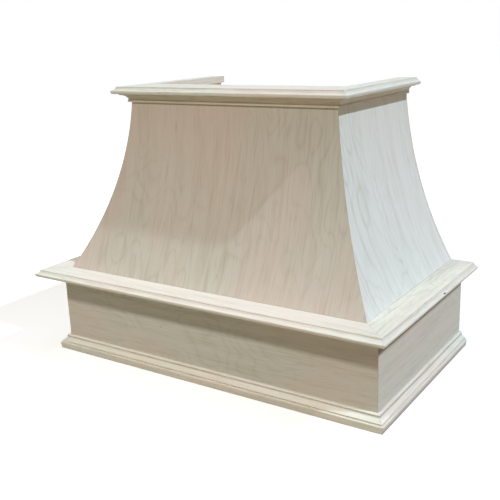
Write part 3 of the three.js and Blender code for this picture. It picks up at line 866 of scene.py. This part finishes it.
class HOOD_OT_bell_panels(bpy.types.Operator):
    """Bend the three panels, mitre them along the hips, and close the side panels at the wall"""

    bl_idname = "hood.bell_panels"
    bl_label = "Bell panels"

    def execute(self, context):
        sizes = hood_sizes()
        low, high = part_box("front_panel")
        ledge_low, ledge_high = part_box("front_ledge")
        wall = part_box("rear_ledger")[1].y
        inward = sizes.ledge_shelf + sizes.bell_run
        mitre_pull = sizes.panel_fit * MITRE
        centre_out, centre_up = bell_centre(sizes)
        tree = panel_tree()
        for side in SIDES:
            node = f"{side}_panel"
            veneer = "maple_veneer_rosy" if side == "front" else "maple_veneer_pale"
            values = {
                "Half Width": ledge_high.x + mitre_pull - inward,
                "Depth": wall - ledge_low.y - inward,
                "Low": low.z - ledge_high.z,
                "High": high.z - ledge_high.z,
                "Skin": sizes.panel_skin,
                "Radius": sizes.bell_radius,
                "Centre Out": centre_out,
                "Centre Up": centre_up,
                "Mitre Pull": mitre_pull,
                "Wall Gap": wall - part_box("right_panel")[1].y,
                "Hand": OUTWARD[side].x,
                "Front": side == "front",
                "Rows": sizes.panel_rows,
                "Origin": (0, wall, ledge_high.z),
                "Pattern": board_shift(node),
                "Face": bpy.data.materials[veneer],
                "Edge": bpy.data.materials["bending_ply_edge"],
                "Back": bpy.data.materials["birch_ply_face"],
            }
            panel = grow(f"{node}_finished", tree, values)
            panel.data.shade_smooth()
            ease_edges(panel)
            hand_over(panel, "maple_veneer", node)
        for side in HANDS:
            dress(f"{side}_edge_strip", Z, Y, "solid")
        return {"FINISHED"}


class HOOD_OT_inner_frame(bpy.types.Operator):
    """Finish the ribs and rails that carry the panels"""

    bl_idname = "hood.inner_frame"
    bl_label = "Inner frame"

    def execute(self, context):
        for third in ("left", "centre", "right"):
            dress(f"{third}_front_rib", Z, X, "plywood")
        for side in HANDS:
            dress(f"{side}_middle_rib", Z, Y, "plywood")
            dress(f"{side}_wall_rib", Z, Y, "plywood")
            diagonal = (OUTWARD[side] + Y).normalized()
            dress(f"{side}_hip_rib", Z, diagonal, "plywood")
        for side in SIDES:
            for level in ("bottom", "top"):
                dress(f"{side}_{level}_rail", RUN[side], Z, "plywood")
        dress("upper_wall_rail", X, Y, "plywood")
        return {"FINISHED"}


class HOOD_OT_crown(bpy.types.Operator):
    """Finish the cap boards, the cove moulding and the backing board"""

    bl_idname = "hood.crown"
    bl_label = "Crown"

    def execute(self, context):
        low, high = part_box("front_crown_cap")
        section = nose_section(hood_sizes(), high.y - low.y, high.z - low.z)
        for side in SIDES:
            mould(f"{side}_crown_cap", side, section, Z, "solid")
            dress(f"{side}_crown_cove", RUN[side], OUTWARD[side], "warm")
        dress("crown_backer", X, Z, "solid")
        return {"FINISHED"}


# ---- Fixings ----------------------------------------------------------------------------------------

ROW_INPUTS = {
    "NodeSocketInt": ("Count", "Seed"),
    "NodeSocketVector": ("Start", "End", "Facing", "Along"),
    "NodeSocketFloat": ("Turn",),
    "NodeSocketObject": ("Head",),
    "NodeSocketMaterial": ("Finish",),
}

# Rows of screws: (board, side it is driven from, direction of the row, distance of the ends, spacing).
SCREW_ROWS = (
    ("front_ledger", Y, X, 0.060, 0.21),
    ("left_ledger", X, Y, 0.050, 0.21),
    ("right_ledger", -X, Y, 0.050, 0.21),
    ("rear_ledger", -Y, X, 0.060, 0.21),
    ("left_corner_block", (Y + X).normalized(), Z, 0.035, 0.10),
    ("right_corner_block", (Y - X).normalized(), Z, 0.035, 0.10),
    ("front_bottom_rail", Z, X, 0.110, 0.21),
    ("left_bottom_rail", Z, Y, 0.100, 0.25),
    ("right_bottom_rail", Z, Y, 0.100, 0.25),
    ("front_top_rail", -Z, X, 0.050, 0.17),
    ("left_top_rail", -Z, Y, 0.060, 0.26),
    ("right_top_rail", -Z, Y, 0.060, 0.26),
)

# Filled brads in the fascia of each base moulding.
BRAD_INSET = 0.045  # first and last brad, from the ends of the moulding
BRAD_HEIGHT = 0.0065
BRAD_RISE, BRAD_SINK = 0.08 * MM, 0.2 * MM  # how far a mark stands out of its face, and goes into it

# The one open nail hole, above the bead of the right ledge's nose.
NAIL_SPOT = Vector((0.49635, 0.0530, 0.22305))
NAIL_FACING = Vector((0.17, 0, 0.985))
NAIL_RISE, NAIL_SINK = 0.12 * MM, 0.6 * MM


def row_tree():
    """A row of heads, seated on a face, each turned at random by up to the given angle."""
    tree, given = new_geometry_tree("Row of fixings", ROW_INPUTS)
    points = add_node(
        tree, "GeometryNodeMeshLine",
        {"Count": given["Count"], "Start Location": given["Start"], "Offset": given["End"]},
        mode="END_POINTS",
    )
    seat = add_node(
        tree, "FunctionNodeAxesToRotation", [given["Facing"], given["Along"]],
        primary_axis="Z", secondary_axis="X",
    )
    angle = add_node(
        tree, "FunctionNodeRandomValue", {"Min": 0.0, "Max": given["Turn"], "Seed": given["Seed"]},
        data_type="FLOAT",
    )
    spin = add_node(tree, "FunctionNodeAxisAngleToRotation", {"Axis": tuple(Z), "Angle": angle})
    turned = add_node(tree, "FunctionNodeRotateRotation", [seat, spin], rotation_space="LOCAL")
    head = add_node(tree, "GeometryNodeObjectInfo", {"Object": given["Head"]}).outputs["Geometry"]
    placed = add_node(
        tree, "GeometryNodeInstanceOnPoints", {"Points": points, "Instance": head, "Rotation": turned}
    )
    real = add_node(tree, "GeometryNodeRealizeInstances", {"Geometry": placed})
    clad = add_node(tree, "GeometryNodeSetMaterial", {"Geometry": real, "Material": given["Finish"]})
    add_node(tree, "NodeGroupOutput", {"Geometry": clad})
    return tree


def oval(shell, radius_x, radius_y, height, count):
    """A level loop of corners."""
    turns = (math.tau * step / count for step in range(count))
    return [shell.verts.new((radius_x * math.cos(t), radius_y * math.sin(t), height)) for t in turns]


def head_object(name, shell):
    """Puts a head's mesh in an object that only the rows read."""
    bmesh.ops.recalc_face_normals(shell, faces=shell.faces)
    mesh = bpy.data.meshes.new(name)
    shell.to_mesh(mesh)
    shell.free()
    return bpy.data.objects.new(name, mesh)


SCREW_CORNERS = 24
SCREW_SINK = 0.4 * MM  # how far the head goes into the face
# The rest of a screw's head, as shares of its radius.
SCREW_FOOT, SCREW_CROWN = 0.80, 0.90
SCREW_EDGE_UP, SCREW_CROWN_UP = 0.05, 0.11
CROSS_ARM, CROSS_HALF, CROSS_UP = 0.52, 0.12, 0.14
CROSS_TAPER, CROSS_DOWN = 0.72, 0.05


def screw_head(diameter):
    """A countersunk head, slightly domed, with a tapered cross recess."""
    shell = bmesh.new()
    rim = diameter / 2
    foot = oval(shell, SCREW_FOOT * rim, SCREW_FOOT * rim, -SCREW_SINK, SCREW_CORNERS)
    edge = oval(shell, rim, rim, SCREW_EDGE_UP * rim, SCREW_CORNERS)
    crown = oval(shell, SCREW_CROWN * rim, SCREW_CROWN * rim, SCREW_CROWN_UP * rim, SCREW_CORNERS)
    skin_between(shell, foot, edge)
    skin_between(shell, edge, crown)
    shell.faces.new(foot[::-1])
    arm, half = CROSS_ARM * rim, CROSS_HALF * rim
    corners = [(arm, -half), (arm, half), (half, half)]
    for _ in range(3):
        corners += [(-y, x) for x, y in corners[-3:]]
    mouth = [shell.verts.new((x, y, CROSS_UP * rim)) for x, y in corners]
    floor = [shell.verts.new((CROSS_TAPER * x, CROSS_TAPER * y, -CROSS_DOWN * rim)) for x, y in corners]
    skin_between(shell, floor, mouth)
    shell.faces.new(floor)
    edges = []
    for loop in (crown, mouth):
        edges += [shell.edges.get(pair) or shell.edges.new(pair) for pair in pairs_round(loop)]
    bmesh.ops.triangle_fill(shell, edges=edges, use_beauty=True)
    return head_object("screw_head", shell)


PLUG_CORNERS = 12
PLUG_CROWN = 0.6  # flat top of a plug, as a share of its size


def brad_mark(name, along, across, rise, sink):
    """An oval plug of filler, or the rim of a nail hole, seated in the face."""
    shell = bmesh.new()
    foot = oval(shell, along / 2, across / 2, -sink, PLUG_CORNERS)
    edge = oval(shell, along / 2, across / 2, rise / 3, PLUG_CORNERS)
    crown = oval(shell, PLUG_CROWN * along / 2, PLUG_CROWN * across / 2, rise, PLUG_CORNERS)
    skin_between(shell, foot, edge)
    skin_between(shell, edge, crown)
    shell.faces.new(foot[::-1])
    shell.faces.new(crown)
    return head_object(name, shell)


def row_of(name, tree, head, finish, ends, facing, along, spacing, turn=0.0):
    """One row between two ends, with the heads evenly spread and no further apart than the spacing."""
    start, end = ends
    values = {
        "Count": 1 + math.ceil((end - start).length / spacing),
        "Start": start,
        "End": end,
        "Facing": facing,
        "Along": along,
        "Turn": turn,
        "Seed": len(name),  # fixed, so that each run turns the heads alike
        "Head": head,
        "Finish": bpy.data.materials[finish],
    }
    row = grow(name, tree, values)
    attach(row, "root")


def face_row(node, facing, run, inset, lift=None):
    """The ends of a row along the middle of a board's face, or at a height on it."""
    low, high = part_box(node)
    half = (high - low) / 2
    # A corner block's sloping face runs through the middle of its box, so there the row stays.
    way_out = Vector([math.trunc(part) for part in facing])
    spot = (low + high) / 2 + half * way_out
    if lift is not None:
        spot.z = lift
    reach = half.dot(run) - inset
    return spot - reach * run, spot + reach * run


class HOOD_OT_fixings(bpy.types.Operator):
    """Drive the screws of the inner frame, fill the brads, and leave one nail hole open"""

    bl_idname = "hood.fixings"
    bl_label = "Fixings"

    def execute(self, context):
        sizes = hood_sizes()
        tree = row_tree()

        screw = screw_head(sizes.screw_head)
        for node, facing, run, inset, spacing in SCREW_ROWS:
            name, ends = f"{node}_screws", face_row(node, facing, run, inset)
            row_of(name, tree, screw, "zinc_plated_steel", ends, facing, run, spacing, turn=math.tau)

        brad = brad_mark("brad_mark", sizes.brad_length, sizes.brad_width, BRAD_RISE, BRAD_SINK)
        slope = sizes.fascia_lean / sizes.fascia_height
        for side in SIDES:
            node, facing = f"{side}_base_mould", OUTWARD[side]
            back = slope * (sizes.fascia_height - BRAD_HEIGHT) * facing
            ends = [end - back for end in face_row(node, facing, RUN[side], BRAD_INSET, BRAD_HEIGHT)]
            leaning = facing - slope * Z
            row_of(f"{node}_brads", tree, brad, "wood_filler", ends, leaning, RUN[side], sizes.brad_spacing)

        hole = brad_mark("nail_hole_mark", sizes.nail_length, sizes.nail_width, NAIL_RISE, NAIL_SINK)
        ends = (NAIL_SPOT, NAIL_SPOT)
        row_of("right_ledge_nail", tree, hole, "nail_hole", ends, NAIL_FACING, Y, sizes.brad_spacing)

        for head in (screw, brad, hole):
            bpy.data.objects.remove(head)
        return {"FINISHED"}


class HOOD_OT_finishes(bpy.types.Operator):
    """Make the materials of the woods and fixings"""

    bl_idname = "hood.finishes"
    bl_label = "Finishes"

    def execute(self, context):
        make_materials(context.scene.hood_colours)
        return {"FINISHED"}


# ---- Stage ------------------------------------------------------------------------------------------


def seen_and_lit(tree, shown, hidden):
    """Mixes two shaders: one for what the camera, glass and gloss see, one for all other light."""
    path = add_node(tree, "ShaderNodeLightPath").outputs
    seen = path["Is Camera Ray"]
    for kind in ("Is Glossy Ray", "Is Transmission Ray"):
        seen = add_node(tree, "ShaderNodeMath", [seen, path[kind]], operation="MAXIMUM")
    return add_node(tree, "ShaderNodeMixShader", [seen, hidden, shown])


FLOOR_DROP = 0.2 * MM  # the floor lies this far under the cover's foot


def make_floor(stage):
    """A matt floor that the camera sees paler than it lights the cover."""
    half = stage.floor_size / 2
    corners = [(-half, -half), (half, -half), (half, half), (-half, half)]
    mesh = bpy.data.meshes.new("floor")
    mesh.from_pydata([(*corner, -FLOOR_DROP) for corner in corners], [], [(0, 1, 2, 3)])
    floor = bpy.data.objects.new("floor", mesh)
    bpy.context.collection.objects.link(floor)
    tree = new_material("pale_floor")
    pale = add_node(tree, "ShaderNodeBsdfDiffuse", {"Color": stage.floor_colour})
    glow = add_node(tree, "ShaderNodeEmission", {"Strength": stage.floor_lift})
    lifted = add_node(tree, "ShaderNodeAddShader", [pale, glow])
    bounce = add_node(tree, "ShaderNodeBsdfDiffuse", {"Color": stage.bounce_colour})
    add_node(tree, "ShaderNodeOutputMaterial", {"Surface": seen_and_lit(tree, lifted, bounce)})
    mesh.materials.append(bpy.data.materials["pale_floor"])


def make_world(stage):
    """A white surround to the camera, and a weak warm room to the cover."""
    world = bpy.data.worlds.new("studio")
    bpy.context.scene.world = world
    world.use_nodes = True
    world.node_tree.nodes.clear()
    tree = world.node_tree
    white = add_node(tree, "ShaderNodeBackground", {"Color": (1, 1, 1), "Strength": 1.0})
    room = add_node(
        tree, "ShaderNodeBackground", {"Color": stage.room_colour, "Strength": stage.room_strength}
    )
    add_node(tree, "ShaderNodeOutputWorld", {"Surface": seen_and_lit(tree, white, room)})


def add_lamp(name, kind, location, direction, lamp_colour, energy, **values):
    """Hangs a lamp that shines in this direction."""
    lamp = bpy.data.lights.new(name, kind)
    lamp.color = lamp_colour
    lamp.energy = energy
    for key, value in values.items():
        setattr(lamp, key, value)
    holder = bpy.data.objects.new(name, lamp)
    holder.location = location
    holder.rotation_euler = direction.to_track_quat("-Z", "Y").to_euler()
    bpy.context.collection.objects.link(holder)
    return lamp


def even_out(lamp, reach):
    """Keeps a lamp's light from weakening with distance, so that the apron gets as much as the crown."""
    lamp.use_nodes = True
    tree = lamp.node_tree
    tree.nodes.clear()
    even = add_node(tree, "ShaderNodeLightFalloff", {"Strength": 1 / reach**2}).outputs["Constant"]
    light = add_node(tree, "ShaderNodeEmission", {"Strength": even})
    add_node(tree, "ShaderNodeOutputLight", {"Surface": light})


SENSOR_WIDTH = 36  # in millimetres, as the focal length is


def make_camera(stage):
    """A camera at the photo's viewing angle, with its roll and shift."""
    forward = (Vector(stage.camera_target) - Vector(stage.camera_place)).normalized()
    right = forward.cross(Z).normalized()
    above = right.cross(forward)
    turn = math.cos(stage.camera_roll), math.sin(stage.camera_roll)
    rolled_right = turn[0] * right + turn[1] * above
    rolled_above = turn[0] * above - turn[1] * right
    lens = bpy.data.cameras.new("camera")
    lens.sensor_width = SENSOR_WIDTH
    lens.lens = stage.focal_length
    lens.shift_x, lens.shift_y = stage.shift
    camera = bpy.data.objects.new("camera", lens)
    axes = Matrix((rolled_right, rolled_above, -forward)).transposed()
    camera.matrix_world = Matrix.Translation(stage.camera_place) @ axes.to_4x4()
    bpy.context.collection.objects.link(camera)
    bpy.context.scene.camera = camera


class HOOD_OT_stage(bpy.types.Operator):
    """Set up the pale floor, the soft lights and the camera"""

    bl_idname = "hood.stage"
    bl_label = "Stage"

    def execute(self, context):
        stage = context.scene.hood_stage
        make_floor(stage)
        make_world(stage)
        key = Vector(stage.key_direction)
        add_lamp("key", "SUN", key, -key, stage.key_colour, stage.key_strength, angle=stage.key_softness)
        lamp = add_lamp(
            "front", "AREA", stage.front_place, Vector(stage.front_direction), stage.front_colour,
            stage.front_power, size=stage.front_size,
        )
        even_out(lamp, stage.front_reach)
        add_lamp(
            "top", "AREA", stage.top_place, -Z, stage.top_colour, stage.top_power, size=stage.top_size
        )
        make_camera(stage)
        context.scene.view_settings.view_transform = "Standard"
        return {"FINISHED"}


# ---- Add-on -----------------------------------------------------------------------------------------

STEPS = (
    HOOD_OT_finishes,
    HOOD_OT_apron,
    HOOD_OT_ledge,
    HOOD_OT_bell_panels,
    HOOD_OT_inner_frame,
    HOOD_OT_crown,
    HOOD_OT_fixings,
    HOOD_OT_stage,
)


class HOOD_PT_cover(bpy.types.Panel):
    """The hood cover's sizes, colours and steps"""

    bl_idname = "HOOD_PT_cover"
    bl_label = "Hood Cover"
    bl_space_type = "VIEW_3D"
    bl_region_type = "UI"
    bl_category = "Hood Cover"

    def draw(self, context):
        for group in (context.scene.hood_sizes, context.scene.hood_colours, context.scene.hood_stage):
            box = self.layout.box()
            for name in group.bl_rna.properties.keys():
                if name not in ("rna_type", "name"):
                    box.prop(group, name)
        for step in STEPS:
            self.layout.operator(step.bl_idname)


CLASSES = (HoodSizes, HoodColours, HoodStage, *STEPS, HOOD_PT_cover)


def register():
    for made in CLASSES:
        bpy.utils.register_class(made)
    bpy.types.Scene.hood_sizes = PointerProperty(type=HoodSizes)
    bpy.types.Scene.hood_colours = PointerProperty(type=HoodColours)
    bpy.types.Scene.hood_stage = PointerProperty(type=HoodStage)


def unregister():
    del bpy.types.Scene.hood_stage
    del bpy.types.Scene.hood_colours
    del bpy.types.Scene.hood_sizes
    for made in reversed(CLASSES):
        bpy.utils.unregister_class(made)


def main():
    """Runs every step in order."""
    register()
    for step in STEPS:
        group, name = step.bl_idname.split(".")
        getattr(getattr(bpy.ops, group), name)()


if __name__ == "__main__":
    main()
